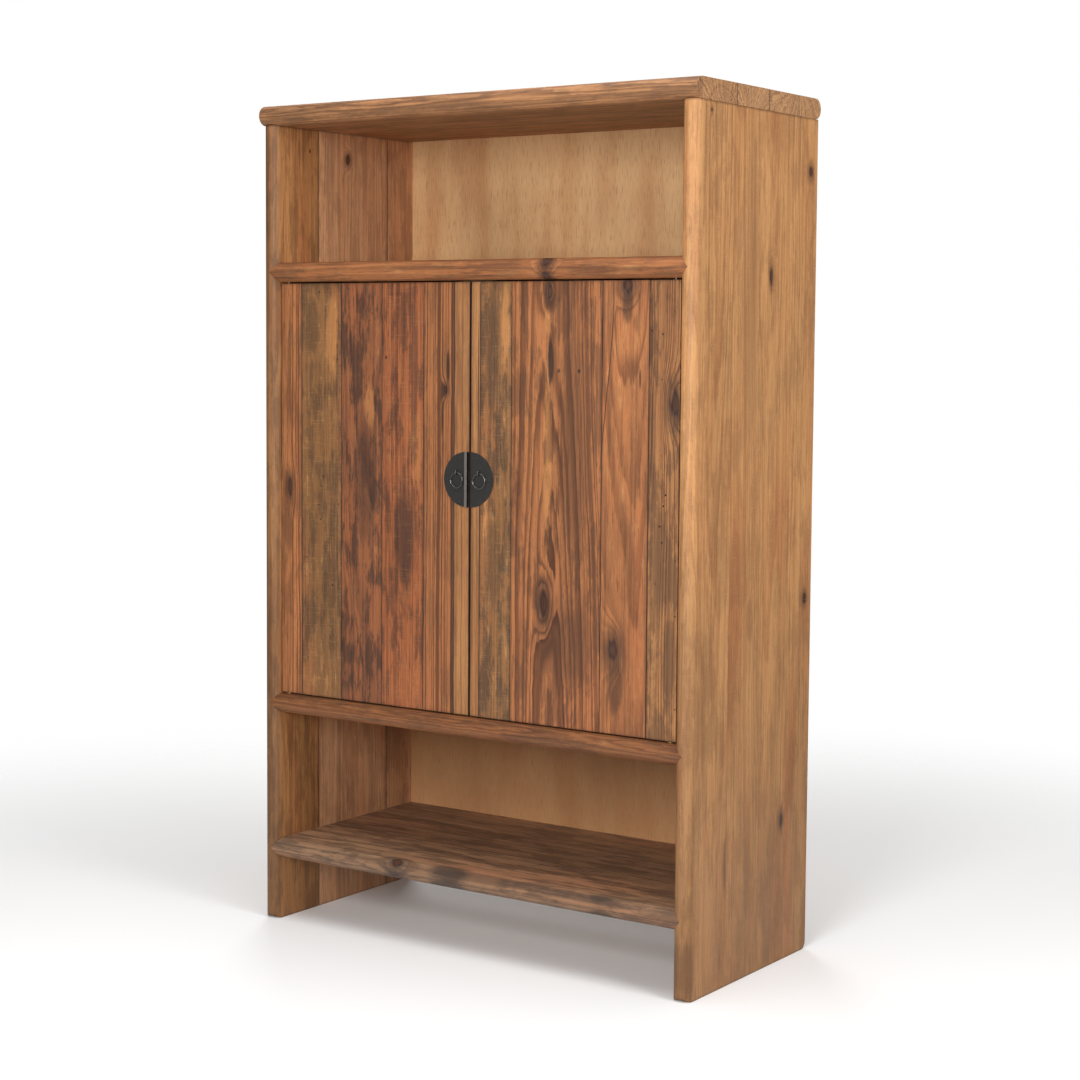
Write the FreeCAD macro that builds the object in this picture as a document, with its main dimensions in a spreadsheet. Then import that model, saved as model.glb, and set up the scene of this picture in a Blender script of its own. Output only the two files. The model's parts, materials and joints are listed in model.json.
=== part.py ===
import FreeCAD, Part
import Sketcher
import os

# Armoire of edge-glued pine boards: two plank sides that run down to the floor as legs, a round-nosed top,
# three round-nosed shelves whose pointed ends are let into the sides, an open bay above and below a
# cupboard with two inset plank doors on pivot pins, and a split round escutcheon with two ring pulls.
# Millimetres. +Z up, +X right, -Y is the front. The origin is on the floor, under the middle of the case.

doc = FreeCAD.newDocument("armoire")
sheet = doc.addObject("Spreadsheet::Sheet", "Dims")

SIZES = [
    ("height", 1630, "floor to the top's upper face"),
    ("width", 1000, "over the outer faces of the sides"),
    ("depth", 445, "side panel, front of its nose to its back edge"),
    ("side_thick", 36, "side boards"),
    ("top_thick", 38.5, "top boards"),
    ("shelf_thick", 39, "the three fixed shelves"),
    ("top_over", 7, "top beyond the sides at the front and the back"),
    ("top_end_over", 1.5, "top beyond the sides at each end"),
    ("top_bay", 269, "clear height of the open bay under the top"),
    ("lower_bay", 257, "clear height of the open bay under the cupboard"),
    ("foot_clear", 126, "floor to the underside of the bottom shelf"),
    ("foot_round", 16, "rounding of the sides' bottom corners"),
    ("shelf_tongue", 8, "how far a shelf's end is housed in the side"),
    ("side_front_board", 130, "width of a side's front board"),
    ("side_rear_board", 93, "width of a side's rear board"),
    ("top_front_board", 140, "width of the top's front board"),
    ("top_rear_board", 201, "width of the top's rear board"),
    ("shelf_front_board", 165, "width of a fixed shelf's front board"),
    ("back_thick", 5, "plywood back panel"),
    ("back_inset", 1, "back panel in from the sides' back edges"),
    ("back_rebate", 9, "how far the back panel is let into the sides"),
    ("door_thick", 22, "door boards"),
    ("door_setback", 14, "door's face behind the front of the sides"),
    ("door_gap", 2.5, "gap around a door at its hinge side, top and bottom"),
    ("meeting_gap", 3.5, "gap between the two doors"),
    ("meeting_shift", 5, "gap's middle to the right of the case's middle"),
    ("left_board_1", 52.5, "left door's boards, from its hinge side"),
    ("left_board_2", 101, "left door"),
    ("left_board_4", 101, "left door; board 3 takes up the rest"),
    ("left_board_5", 72.5, "left door"),
    ("left_board_6", 36, "left door"),
    ("right_board_1", 21, "right door's boards, from the meeting edge"),
    ("right_board_2", 71.5, "right door; board 3 takes up the rest"),
    ("right_board_4", 99, "right door"),
    ("right_board_5", 64, "right door"),
    ("batten_thick", 18, "battens across the back of the doors"),
    ("batten_wide", 60, "batten's height"),
    ("batten_short", 55, "batten's end in from the door's edge"),
    ("batten_inset", 100, "batten's edge in from the door's top or bottom"),
    ("pivot_in", 14, "pivot axis in from the door's hinge edge"),
    ("pivot_behind", 7, "pivot axis behind the door's face"),
    ("pivot_radius", 3.5, "pivot pin"),
    ("pivot_seat", 30, "pin's length in the door"),
    ("pivot_engage", 10, "pin's length in its bush"),
    ("bush_wall", 2, "bush wall"),
    ("bush_depth", 12, "bush length"),
    ("running_clear", 0.05, "radial clearance of a pin in its bush"),
    ("washer_thick", 2.2, "thrust washer under a door"),
    ("washer_wall", 3.5, "thrust washer's width beyond the pin"),
    ("handle_up", 450, "middle of the escutcheon above the cupboard floor"),
    ("plate_radius", 52, "half-round escutcheon plate"),
    ("plate_thick", 1.5, "escutcheon plate"),
    ("plate_inset", 0.4, "escutcheon in from the door's meeting edge"),
    ("bar_wide", 5.5, "cover bar on the left plate"),
    ("bar_proud", 8, "cover bar in front of the door's face"),
    ("ring_radius", 14, "ring pull, to the middle of its wire"),
    ("ring_wire", 1.6, "ring pull's wire radius"),
    ("ring_in", 21, "ring's middle in from its plate's straight edge"),
    ("ring_drop", 2, "ring's middle below the plate's middle"),
    ("ring_clear", 0.4, "ring in front of its plate"),
    ("staple_wire", 1.2, "staple's wire radius"),
    ("staple_gap", 3, "half the opening of the staple"),
    ("staple_clear", 0.3, "ring's wire above the staple's lower leg"),
    ("staple_seat", 14, "staple's legs in the door"),
    ("nail_head", 2, "escutcheon pin's head radius"),
    ("nail_head_thick", 0.8, "escutcheon pin's head"),
    ("nail_shank", 0.8, "escutcheon pin's shank radius"),
    ("nail_long", 12, "escutcheon pin's shank below the plate's face"),
    ("nail_in", 8, "escutcheon pins in from the plate's rim"),
    ("nail_spread", 70, "degrees from the middle pin to the outer ones"),
    ("dowel_radius", 5, "dowels between top and sides"),
    ("dowel_up", 24, "dowel's length in the top"),
    ("dowel_down", 36, "dowel's length in the side"),
    ("dowel_edge", 60, "outer dowels in from the side's front and back"),
    ("screw_head", 4, "countersunk screw's head radius"),
    ("screw_shank", 1.9, "countersunk screw's shank radius"),
    ("screw_taper", 2.2, "countersunk head's height"),
    ("screw_tip", 4, "countersunk screw's point"),
    ("back_screw_long", 28, "screws through the back panel"),
    ("batten_screw_long", 34, "screws through the battens"),
    ("catch_long", 70, "double magnetic catch"),
    ("catch_deep", 16, "catch, front to back"),
    ("catch_high", 14, "catch's height"),
    ("catch_clear", 0.5, "catch behind the strike plates"),
    ("magnet_radius", 4.5, "catch magnets"),
    ("magnet_long", 10, "catch magnets"),
    ("magnet_apart", 38, "between the catch's magnets"),
    ("strike_wide", 26, "strike plate"),
    ("strike_high", 14, "strike plate"),
    ("strike_thick", 1.5, "strike plate"),
    ("strike_in", 5, "strike plate in from the door's meeting edge"),
    ("strike_down", 3, "strike plate below the door's top"),
    ("strike_head", 3, "strike screw's head radius"),
    ("strike_shank", 1.4, "strike screw's shank radius"),
    ("strike_screw_long", 14, "strike screw"),
    ("inner_thick", 20, "shelf inside the cupboard"),
    ("inner_up", 400, "shelf inside the cupboard, above its floor"),
    ("inner_back", 54, "inner shelf's front behind the doors' faces"),
    ("inner_gap", 1, "gap around the inner shelf"),
    ("inner_front_board", 150, "inner shelf's front board"),
    ("support_radius", 3, "shelf supports"),
    ("support_in", 10, "shelf support's length in the side"),
    ("support_out", 12, "shelf support's length under the shelf"),
    ("support_edge", 45, "shelf supports in from the shelf's edges"),
]
for row, (alias, value, what) in enumerate(SIZES, start=1):
    sheet.set(f"A{row}", what)
    sheet.set(f"B{row}", str(value))
    sheet.setAlias(f"B{row}", alias)
doc.recompute()

# ---------------------------------------------------------------- places, as expressions on the sheet

FRONT = "(-Dims.depth / 2)"
BACK = "(Dims.depth / 2)"
OUTER = "(Dims.width / 2)"
INNER = "(Dims.width / 2 - Dims.side_thick)"
NOSE = "(Dims.side_thick / 2)"
SHELF_NOSE = "(Dims.shelf_thick / 2)"
TOP_NOSE = "(Dims.top_thick / 2)"
TOP_UNDER = "(Dims.height - Dims.top_thick)"
PANEL_FRONT = f"({BACK} - Dims.back_inset - Dims.back_thick)"
SHELF_TOPS = {
    "upper_shelf": f"({TOP_UNDER} - Dims.top_bay)",
    "cupboard_floor": "(Dims.foot_clear + 2 * Dims.shelf_thick + Dims.lower_bay)",
    "bottom_shelf": "(Dims.foot_clear + Dims.shelf_thick)",
}
CUPBOARD_LOW = SHELF_TOPS["cupboard_floor"]
CUPBOARD_HIGH = f"({SHELF_TOPS['upper_shelf']} - Dims.shelf_thick)"
DOOR_FACE = f"({FRONT} + Dims.door_setback)"
DOOR_REAR = f"({DOOR_FACE} + Dims.door_thick)"
DOOR_LOW = f"({CUPBOARD_LOW} + Dims.door_gap)"
DOOR_HIGH = f"({CUPBOARD_HIGH} - Dims.door_gap)"
DOOR_OUTER = f"({INNER} - Dims.door_gap)"
DOOR_MEETS = {
    "left": "(Dims.meeting_shift - Dims.meeting_gap / 2)",
    "right": "(Dims.meeting_shift + Dims.meeting_gap / 2)",
}
PIVOT_X = f"({DOOR_OUTER} - Dims.pivot_in)"
PIVOT_Y = f"({DOOR_FACE} + Dims.pivot_behind)"
PLATE_Z = f"({CUPBOARD_LOW} + Dims.handle_up)"
PLATE_FACE = f"({DOOR_FACE} - Dims.plate_thick)"
RING_Y = f"({PLATE_FACE} - Dims.ring_clear - Dims.ring_wire)"
RING_PIVOT_Z = f"({PLATE_Z} - Dims.ring_drop + Dims.ring_radius)"
STAPLE_Z = f"({RING_PIVOT_Z} + Dims.staple_gap - Dims.ring_wire - Dims.staple_clear)"
PLATE_EDGES = {
    "left": f"({DOOR_MEETS['left']} - Dims.plate_inset - Dims.bar_wide)",
    "right": f"({DOOR_MEETS['right']} + Dims.plate_inset)",
}
SIGNS = {"left": -1, "right": 1}
ALONG = {
    "x": FreeCAD.Rotation(FreeCAD.Vector(0, 1, 0), 90),
    "-x": FreeCAD.Rotation(FreeCAD.Vector(0, 1, 0), -90),
    "y": FreeCAD.Rotation(FreeCAD.Vector(1, 0, 0), -90),
    "-y": FreeCAD.Rotation(FreeCAD.Vector(1, 0, 0), 90),
    "z": FreeCAD.Rotation(),
    "-z": FreeCAD.Rotation(FreeCAD.Vector(1, 0, 0), 180),
}
PROUD = 1  # a cutting tool stands this far past the face that it cuts
SCREWS_IN_SHELF = 5
NODES = []


# ---------------------------------------------------------------- helpers


def place(thing, x, y, z, rotation=None):
    """Turn the object, then tie its position to expressions."""
    thing.Placement = FreeCAD.Placement(FreeCAD.Vector(0, 0, 0), rotation or FreeCAD.Rotation())
    for axis, value in zip("xyz", (x, y, z)):
        thing.setExpression(f".Placement.Base.{axis}", str(value))
    return thing


def size(thing, **values):
    for name, value in values.items():
        thing.setExpression(name, str(value))
    return thing


def block(name, x, y, z):
    """A box from three (low, high) pairs of expressions."""
    box = doc.addObject("Part::Box", name)
    size(box, Length=f"{x[1]} - {x[0]}", Width=f"{y[1]} - {y[0]}", Height=f"{z[1]} - {z[0]}")
    return place(box, x[0], y[0], z[0])


def rod(name, radius, length, start, along="z"):
    """A cylinder that runs from its start point along an axis."""
    bar = size(doc.addObject("Part::Cylinder", name), Radius=radius, Height=length)
    return place(bar, *start, ALONG[along])


def fuse(name, pieces):
    joined = doc.addObject("Part::MultiFuse", name)
    joined.Shapes = pieces
    joined.Refine = True
    return joined


def common(name, first, second):
    shared = doc.addObject("Part::Common", name)
    shared.Base, shared.Tool = first, second
    return shared


def cut(name, base, tools):
    """The base with every tool taken out of it."""
    result = doc.addObject("Part::Cut", name)
    result.Base = base
    result.Tool = tools[0] if len(tools) == 1 else fuse(f"{name}_tools", tools)
    return result


def group(name, pieces):
    """Identical pieces that share a node stay separate solids."""
    held = doc.addObject("Part::Compound", name)
    held.Links = pieces
    return held


def node(name, thing):
    """Make the object a sub-part of the armoire, under the name of its file."""
    thing.Label = name
    NODES.append(thing)
    return thing


def plane_of(body, role):
    return next(f for f in body.Origin.OriginFeatures if f.Role == role)


def sketch_on(body, role):
    sketch = body.newObject("Sketcher::SketchObject", f"{body.Name}_sketch")
    sketch.AttachmentSupport = [(plane_of(body, role), "")]
    sketch.MapMode = "FlatFace"
    return sketch


def draw(sketch, corners):
    """A closed outline through corners, each tied to its pair of expressions."""
    points = [[float(sheet.evalExpression(str(value))) for value in corner] for corner in corners]
    for start, end in zip(points, points[1:] + points[:1]):
        sketch.addGeometry(Part.LineSegment(FreeCAD.Vector(*start, 0), FreeCAD.Vector(*end, 0)))
    for i, corner in enumerate(corners):
        sketch.addConstraint(Sketcher.Constraint("Coincident", i, 2, (i + 1) % len(corners), 1))
        for kind, value, number in zip(("DistanceX", "DistanceY"), corner, points[i]):
            which = sketch.addConstraint(Sketcher.Constraint(kind, -1, 1, i, 1, number))
            sketch.setExpression(f"Constraints[{which}]", str(value))


def prism(name, corners, y_rear, thick):
    """A pad of an outline of (x, z) corners, from its rear plane towards the front."""
    body = doc.addObject("PartDesign::Body", name)
    sketch = sketch_on(body, "XZ_Plane")
    draw(sketch, corners)
    pad = body.newObject("PartDesign::Pad", f"{name}_pad")
    pad.Profile = sketch
    size(pad, Length=thick)
    return place(body, 0, y_rear, 0)


def revolved(name, corners, start, along):
    """A turned piece from (radius, height) corners, with its own axis laid along an axis."""
    body = doc.addObject("PartDesign::Body", name)
    sketch = sketch_on(body, "XZ_Plane")
    draw(sketch, corners)
    turned = body.newObject("PartDesign::Revolution", f"{name}_turned")
    turned.Profile = sketch
    turned.ReferenceAxis = (sketch, ["V_Axis"])
    turned.Angle = 360
    return place(body, *start, ALONG[along])


def screw(name, start, along, length, head="Dims.screw_head", shank="Dims.screw_shank"):
    """A countersunk screw; its start is the middle of its flat head."""
    shoulder, point = (shank, "Dims.screw_taper"), (shank, f"{length} - Dims.screw_tip")
    return revolved(name, [(0, 0), (head, 0), shoulder, point, (0, length)], start, along)


def share(low, high, part, parts):
    """The middle of one of several equal stretches."""
    return f"({low} + ({high} - {low}) * {(part + 0.5) / parts})"


# ---------------------------------------------------------------- pieces that others are cut for

# A shelf's nose is a half-round bar; its ends are pointed and reach the middle of the side's own nose.
notches = {}
for shelf, top in SHELF_TOPS.items():
    low, middle = f"({top} - Dims.shelf_thick)", f"({top} - {SHELF_NOSE})"
    tip = f"({INNER} + {NOSE})"
    right_end = [(INNER, low), (tip, middle), (INNER, top)]
    left_end = [(f"-{x}", z) for x, z in reversed(right_end)]
    rear = f"({FRONT} + {SHELF_NOSE})"
    notches[shelf] = prism(f"{shelf}_points", right_end + left_end, rear, f"{SHELF_NOSE} + {PROUD}")

SEAT = f"({INNER} + Dims.shelf_tongue)"
housings = {}
for shelf, top in SHELF_TOPS.items():
    rise = (f"({top} - Dims.shelf_thick)", top)
    behind_nose = (f"({FRONT} + {SHELF_NOSE})", PANEL_FRONT)
    housings[shelf] = block(f"{shelf}_housing", (f"-{SEAT}", SEAT), behind_nose, rise)

dowels = []
for side, sign in SIGNS.items():
    x = f"({sign} * ({OUTER} - {NOSE}))"
    low = f"({TOP_UNDER} - Dims.dowel_down)"
    long = "Dims.dowel_up + Dims.dowel_down"
    for i, y in enumerate((f"({FRONT} + Dims.dowel_edge)", "0", f"({BACK} - Dims.dowel_edge)")):
        dowels.append(rod(f"{side}_dowel_{i}", "Dims.dowel_radius", long, (x, y, low)))
node("top_dowels", group("top_dowels", dowels))

INNER_FRONT = f"({DOOR_FACE} + Dims.inner_back)"
INNER_REAR = f"({PANEL_FRONT} - Dims.inner_gap)"
INNER_LOW = f"({CUPBOARD_LOW} + Dims.inner_up)"
supports = []
for side, sign in SIGNS.items():
    x = f"({sign} * ({INNER} - Dims.support_out))"
    for i, y in enumerate((f"({INNER_FRONT} + Dims.support_edge)", f"({INNER_REAR} - Dims.support_edge)")):
        start = (x, y, f"({INNER_LOW} - Dims.support_radius)")
        long = "Dims.support_in + Dims.support_out"
        outwards = "x" if sign > 0 else "-x"
        supports.append(rod(f"{side}_support_{i}", "Dims.support_radius", long, start, outwards))
node("shelf_supports", group("shelf_supports", supports))

# The plywood back is let into rebates in the sides and a groove in the top, and screwed to the shelves.
REBATE = f"({INNER} + Dims.back_rebate)"
back_span = (f"-{REBATE}", REBATE)
back_rise = ("Dims.foot_clear", f"({TOP_UNDER} + Dims.back_rebate)")
back_blank = block("back_blank", back_span, (PANEL_FRONT, f"({BACK} - Dims.back_inset)"), back_rise)
rebate = block("back_rebate_tool", back_span, (PANEL_FRONT, f"({BACK} + {PROUD})"), back_rise)
back_screws = []
for shelf, top in SHELF_TOPS.items():
    for i in range(SCREWS_IN_SHELF):
        x = share(f"-{INNER}", INNER, i, SCREWS_IN_SHELF)
        start = (x, f"({BACK} - Dims.back_inset)", f"({top} - {SHELF_NOSE})")
        back_screws.append(screw(f"{shelf}_screw_{i}", start, "-y", "Dims.back_screw_long"))
node("back_panel_screws", group("back_panel_screws", back_screws))
node("back_panel", cut("back_panel", back_blank, back_screws))

# Pivot pins, the bushes that they turn in, and the thrust washers that carry the doors.
BUSH = "(Dims.pivot_radius + Dims.running_clear + Dims.bush_wall)"
bush_holes, bushes, washers, pivots = [], [], [], {}
for side, sign in SIGNS.items():
    x = f"({sign} * {PIVOT_X})"
    bore = "Dims.pivot_radius + Dims.running_clear"
    high_start = (x, PIVOT_Y, CUPBOARD_HIGH)
    low_start = (x, PIVOT_Y, CUPBOARD_LOW)
    for end, start, along in (("top", high_start, "z"), ("bottom", low_start, "-z")):
        hole = rod(f"{side}_{end}_bush_hole", BUSH, "Dims.bush_depth", start, along)
        bush_holes.append(hole)
        opening = rod(f"{side}_{end}_bush_bore", bore, "Dims.bush_depth", start, along)
        bushes.append(cut(f"{side}_{end}_bush", hole, [opening]))
    rim = rod(f"{side}_washer_rim", "Dims.pivot_radius + Dims.washer_wall", "Dims.washer_thick", low_start)
    eye = rod(f"{side}_washer_eye", bore, "Dims.washer_thick", low_start)
    washers.append(cut(f"{side}_washer", rim, [eye]))
    length = "Dims.pivot_seat + Dims.door_gap + Dims.pivot_engage"
    upper = (x, PIVOT_Y, f"({DOOR_HIGH} - Dims.pivot_seat)")
    lower = (x, PIVOT_Y, f"({CUPBOARD_LOW} - Dims.pivot_engage)")
    pivots[side] = [
        rod(f"{side}_top_pivot", "Dims.pivot_radius", length, upper),
        rod(f"{side}_bottom_pivot", "Dims.pivot_radius", length, lower),
    ]
    node(f"{side}_door_pivots", group(f"{side}_door_pivots", pivots[side]))
node("pivot_bushes", group("pivot_bushes", bushes))
node("thrust_washers", group("thrust_washers", washers))

# Double magnetic catch under the upper shelf, just behind the doors.
CATCH_FRONT = f"({DOOR_REAR} + Dims.strike_thick + Dims.catch_clear)"
CATCH_LOW = f"({CUPBOARD_HIGH} - Dims.catch_high)"
catch_block = block(
    "catch_block",
    ("(Dims.meeting_shift - Dims.catch_long / 2)", "(Dims.meeting_shift + Dims.catch_long / 2)"),
    (CATCH_FRONT, f"({CATCH_FRONT} + Dims.catch_deep)"),
    (CATCH_LOW, CUPBOARD_HIGH),
)
magnets = []
for i, sign in enumerate((-1, 1)):
    x = f"(Dims.meeting_shift + {sign} * Dims.magnet_apart / 2)"
    start = (x, CATCH_FRONT, f"({CATCH_LOW} + Dims.catch_high / 2)")
    magnets.append(rod(f"magnet_{i}", "Dims.magnet_radius", "Dims.magnet_long", start, "y"))
catch_middle = ("Dims.meeting_shift", f"({CATCH_FRONT} + Dims.catch_deep / 2)", CATCH_LOW)
catch_screw = screw("catch_screw", catch_middle, "z", "Dims.back_screw_long")
node("catch_magnets", group("catch_magnets", magnets))
node("catch_screw", catch_screw)
node("catch_housing", cut("catch_housing", catch_block, [*magnets, catch_screw]))

# ---------------------------------------------------------------- the case


def side_boards(side, sign):
    """Three boards; the front one has a half-round nose, and the bottom corners are rounded."""
    across = (INNER, OUTER) if sign > 0 else (f"(-{OUTER})", f"(-{INNER})")
    seams = [f"({FRONT} + Dims.side_front_board)", f"({BACK} - Dims.side_rear_board)"]
    upright = ("0", TOP_UNDER)
    middle_x = f"({sign} * ({OUTER} - {NOSE}))"
    nose_y = f"({FRONT} + {NOSE})"
    flat = block(f"{side}_front_flat", across, (nose_y, seams[0]), upright)
    nose = rod(f"{side}_nose", NOSE, TOP_UNDER, (middle_x, nose_y, "0"))
    blanks = {
        "front": fuse(f"{side}_front_blank", [flat, nose]),
        "middle": block(f"{side}_middle_blank", across, (seams[0], seams[1]), upright),
        "rear": block(f"{side}_rear_blank", across, (seams[1], BACK), upright),
    }
    rounding = ("0", "Dims.foot_round")
    corners = {}
    for name, outer, inner in (
        ("front", f"({FRONT} - {PROUD})", f"({FRONT} + Dims.foot_round)"),
        ("rear", f"({BACK} + {PROUD})", f"({BACK} - Dims.foot_round)"),
    ):
        span = (outer, inner) if name == "front" else (inner, outer)
        square = block(f"{side}_{name}_corner", across, span, rounding)
        start = (across[0], inner, "Dims.foot_round")
        round_bar = rod(f"{side}_{name}_round", "Dims.foot_round", "Dims.side_thick", start, "x")
        corners[name] = cut(f"{side}_{name}_corner_tool", square, [round_bar])
    joints = [*notches.values(), *housings.values()]
    cuts = {
        "front": [corners["front"], *joints, *dowels, *supports],
        "middle": [*housings.values(), *dowels, *supports],
        "rear": [corners["rear"], *housings.values(), *dowels, *supports, rebate],
    }
    for name, blank in blanks.items():
        node(f"{side}_side_{name}_board", cut(f"{side}_side_{name}_board", blank, cuts[name]))


for side, sign in SIGNS.items():
    side_boards(side, sign)


def top_boards():
    """Three boards with grain along the width; the outer two have half-round noses."""
    end = f"({OUTER} + Dims.top_end_over)"
    across = (f"(-{end})", end)
    front, back = f"({FRONT} - Dims.top_over)", f"({BACK} + Dims.top_over)"
    seams = [f"({front} + Dims.top_front_board)", f"({back} - Dims.top_rear_board)"]
    upright = (TOP_UNDER, "Dims.height")
    middle_z = f"({TOP_UNDER} + {TOP_NOSE})"
    blanks = {"middle": block("top_middle_blank", across, (seams[0], seams[1]), upright)}
    for name, nose_y, flat in (
        ("front", f"({front} + {TOP_NOSE})", (f"({front} + {TOP_NOSE})", seams[0])),
        ("rear", f"({back} - {TOP_NOSE})", (seams[1], f"({back} - {TOP_NOSE})")),
    ):
        board = block(f"top_{name}_flat", across, flat, upright)
        nose = rod(f"top_{name}_nose", TOP_NOSE, f"2 * {end}", (f"(-{end})", nose_y, middle_z), "x")
        blanks[name] = fuse(f"top_{name}_blank", [board, nose])
    cuts = {"front": dowels, "middle": dowels, "rear": [*dowels, back_blank]}
    for name, blank in blanks.items():
        node(f"top_{name}_board", cut(f"top_{name}_board", blank, cuts[name]))


top_boards()


def fixed_shelf(shelf, top):
    """A front board with a half-round nose and pointed ends, and a rear board behind it."""
    low, middle = f"({top} - Dims.shelf_thick)", f"({top} - {SHELF_NOSE})"
    seam = f"({FRONT} + Dims.shelf_front_board)"
    tip = f"({INNER} + {NOSE})"
    nose_y = f"({FRONT} + {SHELF_NOSE})"
    bar = rod(f"{shelf}_bar", SHELF_NOSE, f"2 * {tip}", (f"(-{tip})", nose_y, middle), "x")
    nose = common(f"{shelf}_nose", notches[shelf], bar)
    across = (f"(-{SEAT})", SEAT)
    flat = block(f"{shelf}_flat", across, (nose_y, seam), (low, top))
    front = fuse(f"{shelf}_front_blank", [flat, nose])
    rear = block(f"{shelf}_rear_blank", across, (seam, PANEL_FRONT), (low, top))
    front_cuts = [] if shelf == "bottom_shelf" else list(bush_holes)
    if shelf == "upper_shelf":
        front_cuts.append(catch_screw)
    if front_cuts:
        front = cut(f"{shelf}_front_cut", front, front_cuts)
    node(f"{shelf}_front_board", front)
    node(f"{shelf}_rear_board", cut(f"{shelf}_rear_cut", rear, back_screws))


for shelf, top in SHELF_TOPS.items():
    fixed_shelf(shelf, top)

# The loose shelf inside the cupboard rests on four supports.
inner_span = (f"(-{INNER} + Dims.inner_gap)", f"({INNER} - Dims.inner_gap)")
inner_seam = f"({INNER_FRONT} + Dims.inner_front_board)"
inner_rise = (INNER_LOW, f"({INNER_LOW} + Dims.inner_thick)")
node("inner_shelf_front_board", block("inner_front", inner_span, (INNER_FRONT, inner_seam), inner_rise))
node("inner_shelf_rear_board", block("inner_rear", inner_span, (inner_seam, INNER_REAR), inner_rise))

# ---------------------------------------------------------------- the doors


def board_edges(side):
    """The seams between a door's boards, from left to right."""
    if side == "left":
        start, end = f"(-{DOOR_OUTER})", DOOR_MEETS["left"]
        before, after = ["left_board_1", "left_board_2"], ["left_board_4", "left_board_5", "left_board_6"]
    else:
        start, end = DOOR_MEETS["right"], DOOR_OUTER
        before, after = ["right_board_1", "right_board_2"], ["right_board_4", "right_board_5"]
    edges = [start]
    for name in before:
        edges.append(f"({edges[-1]} + Dims.{name})")
    tail = [end]
    for name in reversed(after):
        tail.insert(0, f"({tail[0]} - Dims.{name})")
    return edges + tail


def half_plate(side):
    """A half-round plate: a disc with everything past its straight edge cut away."""
    edge = PLATE_EDGES[side]
    start = (edge, DOOR_FACE, PLATE_Z)
    disc = rod(f"{side}_disc", "Dims.plate_radius", "Dims.plate_thick", start, "-y")
    reach = f"(Dims.plate_radius + {PROUD})"
    away = (edge, f"({edge} + {reach})") if side == "left" else (f"({edge} - {reach})", edge)
    deep = (f"({PLATE_FACE} - {PROUD})", f"({DOOR_FACE} + {PROUD})")
    waste = block(f"{side}_disc_waste", away, deep, (f"({PLATE_Z} - {reach})", f"({PLATE_Z} + {reach})"))
    return cut(f"{side}_half_disc", disc, [waste])


def staple(side, x):
    """A bent wire: half a ring in front, with two straight legs through the plate into the door."""
    bend = doc.addObject("Part::Torus", f"{side}_staple_bend")
    size(bend, Radius1="Dims.staple_gap + Dims.staple_wire", Radius2="Dims.staple_wire")
    bend.Angle3 = 180
    turn = FreeCAD.Rotation(FreeCAD.Vector(0, 0, 1), FreeCAD.Vector(0, -1, 0), FreeCAD.Vector(1, 0, 0), "ZYX")
    place(bend, x, RING_Y, STAPLE_Z, turn)
    long = f"{DOOR_FACE} + Dims.staple_seat - {RING_Y}"
    legs = []
    for name, sign in (("upper", 1), ("lower", -1)):
        z = f"({STAPLE_Z} + {sign} * (Dims.staple_gap + Dims.staple_wire))"
        legs.append(rod(f"{side}_staple_{name}", "Dims.staple_wire", long, (x, RING_Y, z), "y"))
    return fuse(f"{side}_staple_wire", [bend, *legs])


def escutcheon_pins(side, sign):
    """Three small flat-headed pins near the rim of a half plate."""
    head, shank, thick = "Dims.nail_head", "Dims.nail_shank", "Dims.nail_head_thick"
    end = f"({thick} + Dims.nail_long)"
    outline = [(0, 0), (head, 0), (head, thick), (shank, thick), (shank, end), (0, end)]
    out = "(Dims.plate_radius - Dims.nail_in)"
    pins = []
    for i, turns in enumerate((1, 0, -1)):
        x = f"({PLATE_EDGES[side]} + {sign} * cos({turns} * Dims.nail_spread) * {out})"
        z = f"({PLATE_Z} + sin({turns} * Dims.nail_spread) * {out})"
        pins.append(revolved(f"{side}_pin_{i}", outline, (x, f"({PLATE_FACE} - {thick})", z), "y"))
    return pins


def sorted_span(edge, sign, inset, wide):
    """A stretch that starts a distance in from the meeting edge, low end first."""
    near = f"({edge} + {sign} * {inset})"
    far = f"({edge} + {sign} * ({inset} + {wide}))"
    return (near, far) if sign > 0 else (far, near)


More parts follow.
